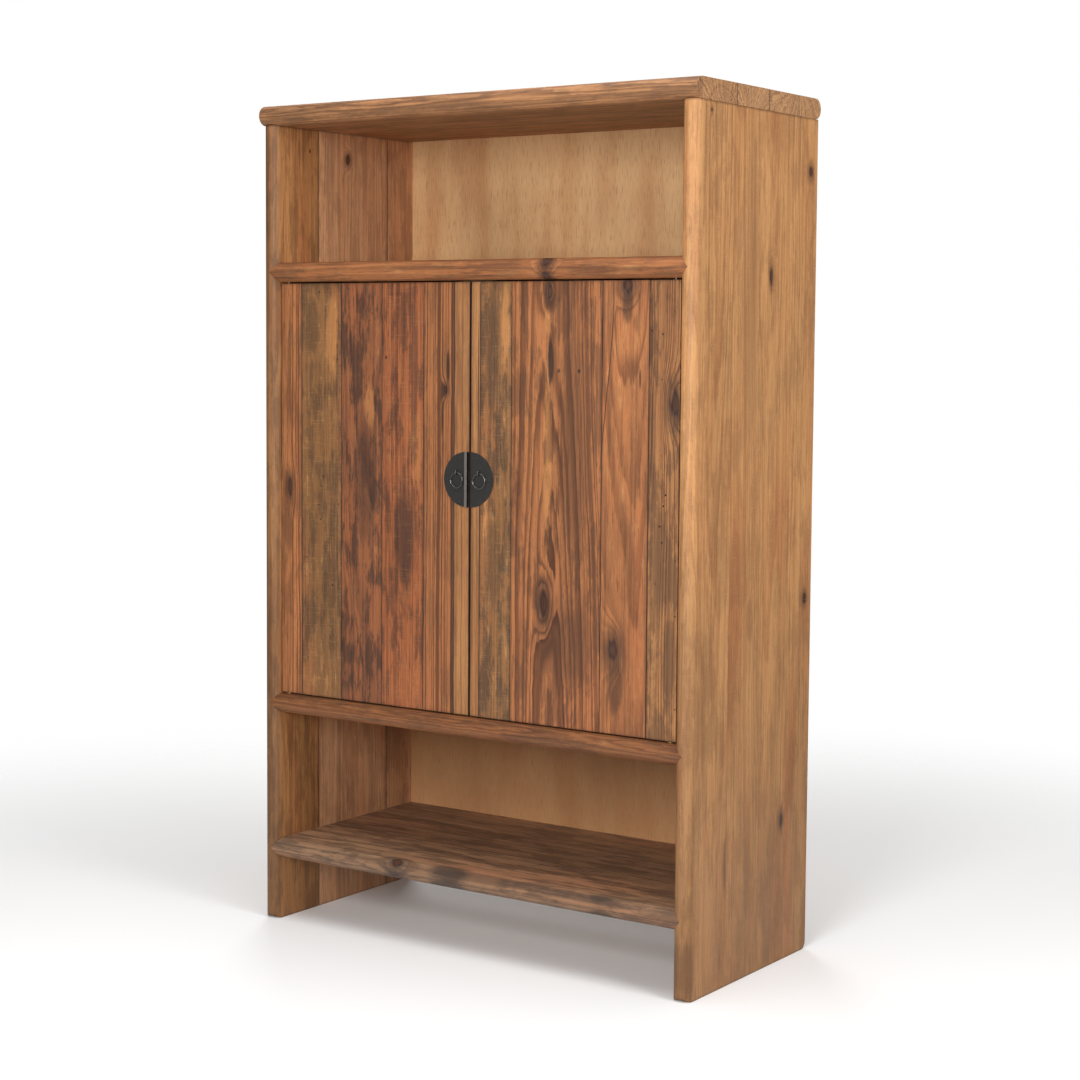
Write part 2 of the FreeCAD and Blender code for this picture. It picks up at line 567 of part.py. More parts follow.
def door(side, sign):
    edges = board_edges(side)
    meet_edge = edges[-1] if side == "left" else edges[0]
    upright = (DOOR_LOW, DOOR_HIGH)
    through = (DOOR_FACE, DOOR_REAR)

    ring_x = f"({PLATE_EDGES[side]} + {sign} * Dims.ring_in)"
    wire = staple(side, ring_x)
    pins = escutcheon_pins(side, sign)
    node(f"{side}_ring_staple", wire)
    node(f"{side}_escutcheon_pins", group(f"{side}_escutcheon_pins", pins))
    node(f"{side}_escutcheon_plate", cut(f"{side}_escutcheon", half_plate(side), [wire, *pins]))

    ring = doc.addObject("Part::Torus", f"{side}_ring")
    size(ring, Radius1="Dims.ring_radius", Radius2="Dims.ring_wire")
    place(ring, ring_x, RING_Y, f"({PLATE_Z} - Dims.ring_drop)", ALONG["y"])
    node(f"{side}_ring_pull", ring)

    strike_x = sorted_span(meet_edge, sign, "Dims.strike_in", "Dims.strike_wide")
    strike_low = f"({DOOR_HIGH} - Dims.strike_down - Dims.strike_high)"
    strike_y = (DOOR_REAR, f"({DOOR_REAR} + Dims.strike_thick)")
    strike_rise = (strike_low, f"({strike_low} + Dims.strike_high)")
    blank = block(f"{side}_strike_blank", strike_x, strike_y, strike_rise)
    middle = (f"(({strike_x[0]} + {strike_x[1]}) / 2)", strike_y[1], f"({strike_low} + Dims.strike_high / 2)")
    small = ("Dims.strike_head", "Dims.strike_shank")
    strike_screw = screw(f"{side}_strike_screw", middle, "-y", "Dims.strike_screw_long", *small)
    node(f"{side}_strike_screw", strike_screw)
    node(f"{side}_strike_plate", cut(f"{side}_strike_plate", blank, [strike_screw]))

    batten_x = (f"({edges[0]} + Dims.batten_short)", f"({edges[-1]} - Dims.batten_short)")
    batten_y = (DOOR_REAR, f"({DOOR_REAR} + Dims.batten_thick)")
    lower = f"({DOOR_LOW} + Dims.batten_inset)"
    upper = f"({DOOR_HIGH} - Dims.batten_inset)"
    rises = {
        "lower": (lower, f"({lower} + Dims.batten_wide)"),
        "upper": (f"({upper} - Dims.batten_wide)", upper),
    }
    # One screw to each board between the two outer ones, in the middle of what the batten covers of it.
    screws = []
    for name, rise in rises.items():
        for i, (first, last) in enumerate(zip(edges[1:-2], edges[2:-1]), start=2):
            held = f"((max({first}; {batten_x[0]}) + min({last}; {batten_x[1]})) / 2)"
            start = (held, batten_y[1], f"(({rise[0]} + {rise[1]}) / 2)")
            screws.append(screw(f"{side}_{name}_batten_screw_{i}", start, "-y", "Dims.batten_screw_long"))
    for name, rise in rises.items():
        batten = block(f"{side}_{name}_batten_blank", batten_x, batten_y, rise)
        node(f"{side}_door_{name}_batten", cut(f"{side}_{name}_batten", batten, screws))
    node(f"{side}_batten_screws", group(f"{side}_batten_screws", screws))

    tools = [*pivots[side], *screws, *pins, wire, strike_screw]
    for i, (start, end) in enumerate(zip(edges, edges[1:]), start=1):
        board = block(f"{side}_board_{i}_blank", (start, end), through, upright)
        node(f"{side}_door_board_{i}", cut(f"{side}_board_{i}_cut", board, tools))


for side, sign in SIGNS.items():
    door(side, sign)

# The cover bar stands on the left door beside its plate and hides the gap between the doors.
bar_x = (PLATE_EDGES["left"], f"({PLATE_EDGES['left']} + Dims.bar_wide)")
bar_y = (f"({DOOR_FACE} - Dims.bar_proud)", DOOR_FACE)
bar_z = (f"({PLATE_Z} - Dims.plate_radius)", f"({PLATE_Z} + Dims.plate_radius)")
node("cover_bar", block("cover_bar_block", bar_x, bar_y, bar_z))

# ---------------------------------------------------------------- checks, then the files

doc.recompute()
for thing in doc.Objects:
    if {"Invalid", "Error"} & set(thing.State):
        raise SystemExit(f"{thing.Label} failed: {thing.State}")
os.makedirs("parts", exist_ok=True)
for thing in NODES:
    shape = thing.Shape
    if shape.isNull() or not shape.isValid() or not shape.Solids:
        raise SystemExit(f"{thing.Label} has no valid solid")
    shape.exportStep(os.path.join("parts", f"{thing.Label}.step"))
    print(f"{thing.Label:28s} {len(shape.Solids):2d} solid(s) {shape.Volume / 1000:10.2f} cm3")
print(len(NODES), "nodes")
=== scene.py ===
# %% [markdown]
# # An armoire of old pine
# The case, the shelves and the two plank doors come from a fixed frame of measured parts. Blender gives
# each board its own worn shape and its own figure of grain, and each fitting its metal. Starting from the
# frame, and not from a blank scene, keeps every hinge and every shelf where the joiner put it.

# %% Load the frame
import json
import math

import bmesh
import bpy
from mathutils import Euler, Matrix, Vector, noise


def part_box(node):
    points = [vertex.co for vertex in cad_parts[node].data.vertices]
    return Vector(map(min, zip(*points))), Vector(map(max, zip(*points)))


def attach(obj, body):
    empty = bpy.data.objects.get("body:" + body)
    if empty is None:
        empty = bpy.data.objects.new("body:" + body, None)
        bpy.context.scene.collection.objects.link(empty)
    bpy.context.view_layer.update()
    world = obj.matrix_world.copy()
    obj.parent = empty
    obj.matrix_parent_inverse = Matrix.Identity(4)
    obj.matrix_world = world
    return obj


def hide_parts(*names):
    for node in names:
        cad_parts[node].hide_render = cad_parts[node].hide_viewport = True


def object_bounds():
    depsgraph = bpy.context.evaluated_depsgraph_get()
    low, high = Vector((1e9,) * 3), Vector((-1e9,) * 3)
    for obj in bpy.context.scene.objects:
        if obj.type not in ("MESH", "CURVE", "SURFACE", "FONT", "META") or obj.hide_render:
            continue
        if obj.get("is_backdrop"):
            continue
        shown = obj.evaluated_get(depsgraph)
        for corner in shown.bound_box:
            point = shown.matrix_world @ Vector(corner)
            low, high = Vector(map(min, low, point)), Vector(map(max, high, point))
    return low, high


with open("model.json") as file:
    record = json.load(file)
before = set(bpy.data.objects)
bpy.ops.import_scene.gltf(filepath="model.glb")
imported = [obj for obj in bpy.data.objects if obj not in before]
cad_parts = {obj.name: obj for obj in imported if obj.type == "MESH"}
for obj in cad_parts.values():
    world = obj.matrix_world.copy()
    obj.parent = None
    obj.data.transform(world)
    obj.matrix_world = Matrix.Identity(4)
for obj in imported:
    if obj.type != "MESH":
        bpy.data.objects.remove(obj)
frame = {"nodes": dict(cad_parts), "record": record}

MM = 0.001
X, Y, Z = (Vector(axis) for axis in ((1, 0, 0), (0, 1, 0), (0, 0, 1)))
scene = bpy.context.scene
cad_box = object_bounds()
record = frame["record"]
body_of = {node: body for body, nodes in record["behaviour"]["bodies"].items() for node in nodes}
slot_of = {part["node"]: part["material_slot"] for part in record["subparts"]}
print(len(frame["nodes"]), "parts in a box of", [round(side, 3) for side in cad_box[1] - cad_box[0]], "m")

# %% [markdown]
# ## From a bmesh to a piece
# A piece of furniture is easiest to look after when every board is one object that stands where its part
# stands. The mesh carries the place, so the object itself stays at the origin and rides on its body. All
# faces are smooth, and a Weighted Normal modifier lets the large flats stay flat, because a rounded arris
# next to a flat face would otherwise shade the whole board as if it were bent.


# %% Make a piece
def piece(name, shape, finish, *nodes):
    """Turn a finished bmesh into an object that stands for one or more parts."""
    mesh = bpy.data.meshes.new(name)
    shape.to_mesh(mesh)
    shape.free()
    mesh.polygons.foreach_set("use_smooth", [True] * len(mesh.polygons))
    mesh.materials.append(finish)
    thing = bpy.data.objects.new(name, mesh)
    scene.collection.objects.link(thing)
    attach(thing, body_of[nodes[0]])
    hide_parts(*nodes)
    thing.modifiers.new("crisp_flats", "WEIGHTED_NORMAL").keep_sharp = False


print("bodies to ride on:", sorted(set(body_of.values())))


# %% [markdown]
# ## Writing a finish as sums
# A shader is arithmetic on sockets. Dragging hundreds of Math nodes by hand is slow and hard to read, so
# one small class wraps a number socket, and a sum of two such numbers adds the Math node. Everything else
# comes from one method that makes a node, sets it and then fills its sockets.


# %% Numbers that vary over a surface
class Number:
    """A socket with one number; sums and products of these add Math nodes."""

    def __init__(self, finish, socket):
        self.finish, self.socket = finish, socket

    def __add__(self, other):
        return self.finish.maths("ADD", self, other)

    def __sub__(self, other):
        return self.finish.maths("SUBTRACT", self, other)

    def __rsub__(self, other):
        return self.finish.maths("SUBTRACT", other, self)

    def __mul__(self, other):
        return self.finish.maths("MULTIPLY", self, other)

    def __truediv__(self, other):
        return self.finish.maths("DIVIDE", self, other)

    def __pow__(self, other):
        return self.finish.maths("POWER", self, other)

    __radd__, __rmul__ = __add__, __mul__


print("a number on a surface can be added, taken away, multiplied, divided and raised to a power")

# %% [markdown]
# ## One class for all finishes
# Wood, iron and brass are made from the same few steps: noise for clouds, a smooth rise to turn a cloud into
# a mask, a mix of two colours by that mask, and a bump at the end. Each step is a method, so that a finish
# reads from top to bottom as a list of what happened to the material.


# %% The nodes of one finish
class Finish:
    """One material: a Principled shader, and methods that add nodes to it."""

    def __init__(self, name, **constants):
        self.material = bpy.data.materials.new(name)
        self.material.use_nodes = True
        self.tree = self.material.node_tree
        self.tree.nodes.clear()
        self.shader = self.node("ShaderNodeBsdfPrincipled", {}, constants)
        self.node("ShaderNodeOutputMaterial", {}, {"Surface": self.shader.outputs[0]})

    def node(self, kind, settings=None, sockets=None):
        made = self.tree.nodes.new(kind)
        for key, value in (settings or {}).items():
            setattr(made, key, value)
        for key, value in (sockets or {}).items():
            value = getattr(value, "socket", value)
            if isinstance(value, bpy.types.NodeSocket):
                self.tree.links.new(value, made.inputs[key])
            else:
                made.inputs[key].default_value = value
        return made

    def maths(self, operation, *values):
        made = self.node("ShaderNodeMath", {"operation": operation}, dict(enumerate(values)))
        return Number(self, made.outputs[0])

    def rise(self, value, low, high):
        """0 below low, 1 above high, and a smooth rise between."""
        step = {"interpolation_type": "SMOOTHSTEP"}
        made = self.node("ShaderNodeMapRange", step, {"Value": value, "From Min": low, "From Max": high})
        return Number(self, made.outputs["Result"])

    def mix(self, share, first, second, how="MIX"):
        colours = {"data_type": "RGBA", "blend_type": how}
        return self.node("ShaderNodeMix", colours, {0: share, 6: first, 7: second}).outputs[2]

    def grey(self, value):
        channels = {"Red": value, "Green": value, "Blue": value}
        return self.node("ShaderNodeCombineColor", {}, channels).outputs[0]

    def split(self, vector):
        made = self.node("ShaderNodeSeparateXYZ", {}, {0: vector})
        return [Number(self, socket) for socket in made.outputs]

    def cloud(self, place, size, stretch=1, detail=2, seed=0, gritty=0.5):
        """Noise with blots size across and stretch times as long: its number and its three channels."""
        spot = self.node(
            "ShaderNodeMapping",
            {"vector_type": "POINT"},
            {
                "Vector": place,
                "Location": (seed * 3.71 % 97, seed * 9.13 % 89, seed * 5.37 % 83),
                "Scale": (1 / size / stretch, 1 / size, 1 / size),
            },
        )
        sockets = {"Vector": spot.outputs[0], "Scale": 1.0, "Detail": detail, "Roughness": gritty}
        made = self.node("ShaderNodeTexNoise", {}, sockets)
        return Number(self, made.outputs[0]), made.outputs[1]

    def wear_in(self, colour, roughness, height, depth, strength):
        """Send colour, roughness and a height to the shader."""
        bump = self.node("ShaderNodeBump", {}, {"Strength": strength, "Distance": depth, "Height": height})
        for key, value in (("Base Color", colour), ("Roughness", roughness), ("Normal", bump.outputs[0])):
            self.tree.links.new(getattr(value, "socket", value), self.shader.inputs[key])
        return self.material


def tint(red, green, blue):
    """A colour as the shader wants it, from the 0 to 255 values that a colour picker shows."""
    linear = [((c / 255 + 0.055) / 1.055) ** 2.4 for c in (red, green, blue)]
    return (*linear, 1.0)


print("middle grey is", round(tint(128, 128, 128)[0], 3), "of full light")


# %% [markdown]
# ## Pine as a solid
# A plank is cut out of a trunk, so its pattern is not painted on: it is the growth rings, cut open. A flat
# picture of grain would need unwrapping and would not agree with the end grain. Here the rings are a solid
# pattern: cylinders around a pith that lies somewhere beside or below the board. Where the pith is far to
# one side the face shows straight lines, and where it lies below the face and leans, it shows cathedrals.
# Branches push the rings aside, and the knot itself has small dark rings of its own. Brushing and years of
# oil leave the hard late wood raised and dark, and stains gather in the seams between boards.
# Each tone is three colours: the soft early wood, the hard late wood and the old stain.

# %% How a board lies, and the tones of its wood
LIES = {
    "door": (Z, X, Y),
    "side": (Z, Y, -X),
    "flat": (X, Y, Z),
}
TONES = {
    "honey": (tint(206, 152, 98), tint(158, 102, 60), tint(108, 72, 48)),
    "tan": (tint(190, 134, 82), tint(116, 72, 44), tint(78, 54, 38)),
    "amber": (tint(176, 112, 66), tint(92, 54, 34), tint(58, 40, 30)),
    "rust": (tint(168, 98, 56), tint(84, 48, 34), tint(54, 38, 32)),
    "umber": (tint(140, 84, 50), tint(76, 48, 36), tint(46, 34, 29)),
    "olive": (tint(140, 96, 56), tint(84, 58, 38), tint(54, 43, 34)),
    "brown": (tint(144, 110, 82), tint(88, 65, 50), tint(56, 46, 40)),
    "inner": (tint(204, 154, 112), tint(150, 106, 78), tint(98, 70, 55)),
    "floury": (tint(194, 138, 92), tint(108, 70, 46), tint(72, 52, 40)),
    "dusty": (tint(186, 138, 96), tint(118, 84, 60), tint(76, 60, 48)),
}
HEARTWOOD = tint(178, 100, 58)
BLEACHED = tint(220, 164, 102)
RUBBED = tint(196, 134, 78)
GRIME = tint(46, 32, 25)
KNOT_HEART, KNOT_RING = tint(50, 33, 28), tint(92, 58, 40)
END_PALE, END_DARK = tint(186, 140, 96), tint(128, 92, 64)
WORM_BORE = tint(36, 25, 20)
SAWN = tint(222, 168, 112)
for tone, (early, late, stain) in TONES.items():
    print(tone, "early wood", [round(c, 3) for c in early[:3]])


# %% [markdown]
# ## A board's own axes
# Boards lie in three ways, so a pattern in room axes would run across half of them. A Mapping node turns
# each board to u along it, v across it and w through it, in millimetres from its middle. The clouds of noise
# are made once for a board and shared, so its stains, cracks and worn places all follow the same fibres.


# %% One board's finish
class BoardFinish(Finish):
    """A finish that knows its board: axes, half sizes, place in the case, and clouds in the wood."""

    def __init__(self, node, lie, seed):
        super().__init__(f"{node}_pine")
        self.shader.inputs["Specular IOR Level"].default_value = 0.35
        low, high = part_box(node)
        middle, half = (low + high) / 2, (high - low) / 2 / MM
        axes = LIES[lie]
        self.half_long, self.half_wide = (abs(half.dot(axis)) for axis in axes[:2])
        self.along, self.across = (middle.dot(axis) / MM for axis in axes[:2])
        turn = Matrix(axes).transposed().to_euler()
        point = self.node("ShaderNodeTexCoord").outputs["Object"]
        place = {"Vector": point, "Location": middle, "Rotation": turn, "Scale": (MM, MM, MM)}
        self.board = self.node("ShaderNodeMapping", {"vector_type": "TEXTURE"}, place).outputs[0]
        self.u, self.v, self.w = self.split(self.board)
        self.drift, channels = self.cloud(self.board, 70, 7, 1, seed)
        self.sway, self.tip, _ = self.split(channels)
        self.ripple, _ = self.cloud(self.board, 7, 9, 3, seed + 5)
        self.streak, _ = self.cloud(self.board, 7, 40, 5, seed + 11, 0.6)
        self.fibre, _ = self.cloud(self.board, 2.2, 26, 5, seed + 17, 0.65)
        self.blot, _ = self.cloud(self.board, 40, 3, 9, seed + 23, 0.68)
        self.smear, _ = self.cloud(self.board, 12, 4, 7, seed + 29, 0.68)
        self.grit, _ = self.cloud(self.board, 3.4, 3.5, 3, seed + 37, 0.6)
        self.torn = (self.fibre - 0.5) * 0.35 + (self.streak - 0.5) * 0.3


print("a board lies in one of", len(LIES), "ways:", *LIES)

# %% [markdown]
# ## Growth rings and knots
# The distance from the pith, divided by a year's growth, counts the years. Its fraction is the season, and
# the late season is the hard dark line. Wet and dry years differ, so each whole year draws its own vigour.
# A knot is given as (across, up, its radius, how many times longer than wide), placed in the whole case.


# %% Rings
def around_knots(f, ring_radius, knots):
    """Bend the rings round each knot; give the nearest knot's distance in its own radii too."""
    nearest = None
    for across, up, size, long in knots:
        square = ((f.u - (up - f.along)) / long) ** 2 + (f.v - (across - f.across)) ** 2
        ring_radius = ring_radius + f.maths("EXPONENT", square / (-3.2 * size * size)) * (size * 1.9)
        distance = f.maths("SQRT", square) / size
        nearest = distance if nearest is None else f.maths("MINIMUM", nearest, distance)
    return ring_radius, nearest


def growth_rings(f, rings, pith, lean, wave, knots):
    """How hard the wood is; where the pith lies from each point; and the nearest knot's distance."""
    beside = f.v - pith[0] + f.u * lean[0] + (f.sway - 0.5) * (4 * wave)
    below = f.w - pith[1] + f.u * lean[1] + (f.tip - 0.5) * (4 * wave)
    radius = f.maths("SQRT", beside**2 + below**2) + (f.ripple - 0.5) * 3.2
    radius, nearest = around_knots(f, radius, knots)
    slowly = {"W": radius / 17, "Scale": 1.0, "Detail": 1.0}
    pace = f.node("ShaderNodeTexNoise", {"noise_dimensions": "1D"}, slowly)
    year = radius / rings + (Number(f, pace.outputs[0]) - 0.5) * (26 / rings)
    season = f.maths("FRACT", year)
    chance = f.node("ShaderNodeTexWhiteNoise", {"noise_dimensions": "1D"}, {"W": f.maths("FLOOR", year)})
    vigour = Number(f, chance.outputs[0])
    hard = f.rise(season, 0.3, 0.82) * (1 - f.rise(season, 0.9, 1.0)) * (vigour * 0.8 + 0.2)
    return hard, (beside, below), nearest


print("a knot 9 mm in radius pushes the rings", 9 * 1.9, "mm aside")

# %% [markdown]
# ## Colour, stains and worn places
# Old colour is laid on in the order in which it came: wood first, then light and air, then stains. Marks are
# dark blots and patches are rubbed pale ones. Each is (across, up, half width, half length, strength), with
# a rim torn along the fibres, because a clean oval looks like paint.


# %% Wood colour and blots
def wood_colour(f, tone, hard, line, blush, bleach, stain):
    """Early wood, reddened and bleached in clouds, with its late wood and its fine dark specks."""
    early, late, dark = TONES[tone]
    colour = f.mix(f.rise(f.tip, 0.45, 0.7) * blush, early, HEARTWOOD)
    colour = f.mix(f.rise(f.smear + f.torn, 0.52, 0.66) * bleach, colour, BLEACHED)
    colour = f.mix(f.rise(f.streak, 0.46, 0.62) * 0.5, colour, late)
    colour = f.mix(hard * line, colour, late)
    colour = f.mix(f.rise(f.fibre, 0.54, 0.64) * 0.6, colour, late)
    return f.mix(f.rise(f.grit + f.torn, 0.58, 0.72) * (stain * 0.5 + 0.05), colour, dark)


def blot_mask(f, blots):
    """Long blots, each with its own reach along and across and a rim torn along the grain."""
    mask = None
    for across, up, wide, long, strength in blots:
        square = ((f.u - (up - f.along)) / long) ** 2 + ((f.v - (across - f.across)) / wide) ** 2
        rim = f.maths("SQRT", square) + (f.blot + f.torn - 0.5) * (1.8 if wide > 5 else 0.4)
        spot = (1 - f.rise(rim, 0.5, 1.15)) * strength
        mask = spot if mask is None else f.maths("MAXIMUM", mask, spot)
    return mask


def stained(f, colour, dark, stain, patches, marks):
    """Rubbed pale patches, then stains in clouds and in the marks."""
    if patches:
        colour = f.mix(blot_mask(f, patches), colour, RUBBED)
    mask = f.rise(f.blot + f.smear * 0.4 + f.torn * 0.8, 0.66, 0.78) * stain
    if marks:
        mask = f.maths("MAXIMUM", mask, blot_mask(f, marks))
    return f.mix(mask * (0.75 + f.fibre * 0.5), colour, dark)


print(len(TONES), "tones, each with a stain of its own")

# %% [markdown]
# ## Seams, ends and cracks
# Dirt collects where a cloth cannot reach: along a joint, at an end, in a crack. A board that meets no
# neighbour on one side is clean there, which is what free says (-1 or 1 for that side, 0 for neither).
# A crack is (across, how far it bends, where it starts, where it stops, its width). Sawn ends show no long
# grain but rays and rings, so a lying board gets another colour over its two ends.


# %% Dirt and end grain
def seams_and_ends(f, free, joint, ends):
    """The thin dark seam, and all the dirt of seams and ends together."""
    side = f.maths("ABSOLUTE", f.v) if free == 0 else f.v * -free
    grime = f.rise(side + (f.smear - 0.5) * 20, f.half_wide - 6, f.half_wide + 2) * (joint * 0.45)
    seam = f.rise(side + (f.ripple - 0.5) * 1.6, f.half_wide - 1.6, f.half_wide - 0.4) * joint
    reach = f.maths("ABSOLUTE", f.u) + (f.fibre - 0.5) * 6
    end = f.rise(reach, f.half_long - 5, f.half_long + 1) * ends
    return seam, f.maths("MAXIMUM", f.maths("MAXIMUM", grime, seam), end)


def crack_lines(f, dirt, cracks):
    for across, bend, start, stop, wide in cracks:
        course = f.rise(f.u, start - f.along, stop - f.along) * bend + (across - f.across)
        gap = f.maths("ABSOLUTE", f.v - course - (f.ripple - 0.5) * 2)
        reach = f.rise(f.u, start - 40 - f.along, start + 40 - f.along)
        dirt = f.maths("MAXIMUM", dirt, (1 - f.rise(gap, wide * 0.5, wide * 1.5)) * reach * 0.8)
    return dirt


def sawn_ends(f, colour, pith_from):
    """Rays that run out from the pith, over the two ends of a lying board."""
    beside, below = pith_from
    turns = f.maths("ARCTAN2", below, beside) * 14 + (f.ripple - 0.5) * 3 + (f.smear - 0.5) * 4
    sockets = {"W": turns, "Scale": 1.0, "Detail": 5.0}
    rays = f.node("ShaderNodeTexNoise", {"noise_dimensions": "1D"}, sockets)
    open_end = f.rise(f.maths("ABSOLUTE", f.u), f.half_long - 2, f.half_long - 1)
    pores = f.mix(f.rise(Number(f, rays.outputs[0]), 0.35, 0.65), END_PALE, END_DARK)
    return f.mix(open_end * 0.7, colour, pores)


print("grime reaches 6 mm in from a joint, and 5 mm in from an end")

# %% [markdown]
# ## Knots, worm holes and saw marks
# These three change the height of the surface as well as its colour: a knot stands proud and is smoother, a
# worm hole is a pit, and a saw leaves fine ridges across the board. Each helper takes both and gives both.


# %% Marks with a height
def knot_hearts(f, nearest, dark, colour, height, rough):
    edge = nearest + (f.ripple - 0.5) * 1.3 + f.torn * 1.2
    core = 1 - f.rise(edge, 0.55, 1.05)
    shadow = (1 - f.rise(edge, 0.9, 2.3)) * 0.6
    small_rings = f.maths("SINE", edge * 9) * 0.25 + f.ripple * 0.7
    colour = f.mix(shadow, colour, dark)
    colour = f.mix(core * 0.9, colour, f.mix(small_rings, KNOT_HEART, KNOT_RING))
    return colour, height * (1 - core) + core * small_rings, rough - core * 0.12


def worm_holes(f, holes, colour, height):
    cells = {"feature": "F1", "distance": "EUCLIDEAN"}
    sockets = {"Vector": f.board, "Scale": 1 / 21, "Randomness": 1.0}
    nests = f.node("ShaderNodeTexVoronoi", cells, sockets)
    bore = 1 - f.rise(Number(f, nests.outputs["Distance"]), 0.06, 0.11)
    bore = bore * f.rise(f.blot, 0.44, 0.5) * holes
    return f.mix(bore, colour, WORM_BORE), height - bore * 3


def saw_marks(f, saw, seed, colour, height):
    kerfs, _ = f.cloud(f.board, 34, 0.045, 4, seed)
    pale = f.rise(kerfs + (f.smear - 0.5) * 0.3, 0.56, 0.7) * saw
    return f.mix(pale, colour, SAWN), height + kerfs * (saw * 0.5)


print("worm holes lie about 21 mm apart where there are any")

# %% [markdown]
# ## The whole finish of a board
# With the steps named, a board's finish is a short recipe, and the boards differ only in its amounts. A
# single finish with an Object Info seed would be less to write, but each of these boards has knots and
# stains of its own. Two amounts paint the wood darker: low down at the foot, as painted shade of light
# falling off towards the floor and as some dirt, and on a rounded front edge or nose, as painted shade.


# %% Pine
def pine(
    node,
    tone,
    lie="door",
    rings=5,
    pith=(60, 40),
    lean=(0, 0),
    wave=5,
    line=0.9,
    knots=(),
    marks=(),
    patches=(),
    cracks=(),
    stain=0.35,
    bleach=0.15,
    blush=0.25,
    holes=0,
    saw=0,
    foot=0.0,
    ends=0.5,
    free=0,
    nose=0.0,
    joint=0.85,
    light=1.0,
    seed=1,
):
    """Old pine for one board; rings is a year's growth and pith the heart's place, in millimetres."""
    dark = TONES[tone][2]
    f = BoardFinish(node, lie, seed)
    hard, pith_from, nearest = growth_rings(f, rings, pith, lean, wave, knots)
    colour = wood_colour(f, tone, hard, line, blush, bleach, stain)
    colour = stained(f, colour, dark, stain, patches, marks)
    seam, dirt = seams_and_ends(f, free, joint, ends)
    if lie == "flat":
        colour = sawn_ends(f, colour, pith_from)
    colour = f.mix(crack_lines(f, dirt, cracks), colour, GRIME)
    height = hard * 0.6 + f.fibre * 0.9 - seam * 0.6
    rough = 0.6 - hard * 0.15
    if nearest is not None:
        colour, height, rough = knot_hearts(f, nearest, dark, colour, height, rough)
    if holes:
        colour, height = worm_holes(f, holes, colour, height)
    if saw:
        colour, height = saw_marks(f, saw, seed + 31, colour, height)
    shade = (f.fibre - 0.5) * 0.7 + (f.streak - 0.5) * 0.6 + (f.drift - 0.5) * 0.5 + light
    # painted shade of light falling off towards the floor, and some dirt: darker over the lowest metre
    if foot:
        shade = shade - (1 - f.rise(f.u, -f.half_long, 1000 - f.half_long)) * foot
    # painted shade on the rounded front edge, from 26 mm to 4 mm in from the free side
    if nose:
        shade = shade - f.rise(f.v * free, f.half_wide - 26, f.half_wide - 4) * nose
    colour = f.mix(1.0, colour, f.grey(shade), "MULTIPLY")
    return f.wear_in(colour, rough, height, 0.6 * MM, 0.7)


print("a pine finish takes", pine.__code__.co_argcount, "amounts")

# %% [markdown]
# ## Shapes of boards
# A real board has no knife edges: a plane takes the arris off, and years of hands and brooms nibble at it.
# A Bevel modifier would round every edge alike. Here a board starts as a cube of the part's size, is sliced
# across the grain so that its arrises can wander, is bevelled, and then wears away a little by noise.


# %% Boards
SHARP = math.radians(35)
ARRIS, WEAR, SLICE = 1.1 * MM, 0.7 * MM, 22 * MM


def sharp_edges(shape):
    return [e for e in shape.edges if len(e.link_faces) == 2 and e.calc_face_angle(0) > SHARP]


def ease(shape, edges, width, steps=2):
    """Round edges over by width."""
    bmesh.ops.bevel(
        shape,
        geom=edges,
        offset=width,
        offset_type="OFFSET",
        affect="EDGES",
        segments=steps,
        profile=0.5,
        material=-1,
        clamp_overlap=True,
    )


def cube(low, high):
    shape = bmesh.new()
    bmesh.ops.create_cube(shape, size=1)
    bmesh.ops.scale(shape, vec=high - low, verts=shape.verts)
    bmesh.ops.translate(shape, vec=(low + high) / 2, verts=shape.verts)
    return shape


def slice_up(shape, low, high):
    """Cut an upright board across again and again, to let its long edges wander."""
    cuts = max(1, round((high - low) / SLICE))
    for i in range(1, cuts):
        every = [*shape.verts, *shape.edges, *shape.faces]
        level = low + (high - low) * i / cuts
        bmesh.ops.bisect_plane(shape, geom=every, plane_co=Z * level, plane_no=Z)


def plank(node, seed):
    """An upright board with eased and nibbled arrises."""
    low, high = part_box(node)
    middle, half = (low + high) / 2, (high - low) / 2
    shape = cube(low, high)
    slice_up(shape, low.z, high.z)
    ease(shape, sharp_edges(shape), ARRIS)
    for vert in shape.verts:
        spot = vert.co / (30 * MM) + Vector((seed * 7.3, seed * 1.9, seed * 4.1))
        bite = max(0.0, noise.noise(spot) + 0.1) * WEAR
        for i in range(2):
            offset = vert.co[i] - middle[i]
            if abs(offset) > half[i] * 0.2:
                vert.co[i] -= math.copysign(bite, offset)
    return shape


def copy_of(node):
    """A part's own mesh, merged into clean flat faces."""
    shape = bmesh.new()
    shape.from_mesh(frame["nodes"][node].data)
    bmesh.ops.remove_doubles(shape, verts=shape.verts, dist=0.002 * MM)
    bmesh.ops.dissolve_limit(shape, angle_limit=math.radians(0.5), verts=shape.verts, edges=shape.edges)
    return shape


def eased_copy(node, width=0.5 * MM, steps=2):
    shape = copy_of(node)
    ease(shape, sharp_edges(shape), width, steps)
    return shape


print("arrises eased by", round(ARRIS / MM, 2), "mm and worn by up to", round(WEAR / MM, 2), "mm")


# %% [markdown]
# ## The doors
# Each door is a row of reclaimed planks, and no two came from the same tree. One is dark and tarry, one
# nearly white, one has a knot at its edge. One finish for all would look like a printed sheet, so each
# board has its own line in a table: its tone, how wide its rings are, where its pith lay and its knots.
# A table is easier to compare and to change, board against board, than eleven separate calls.

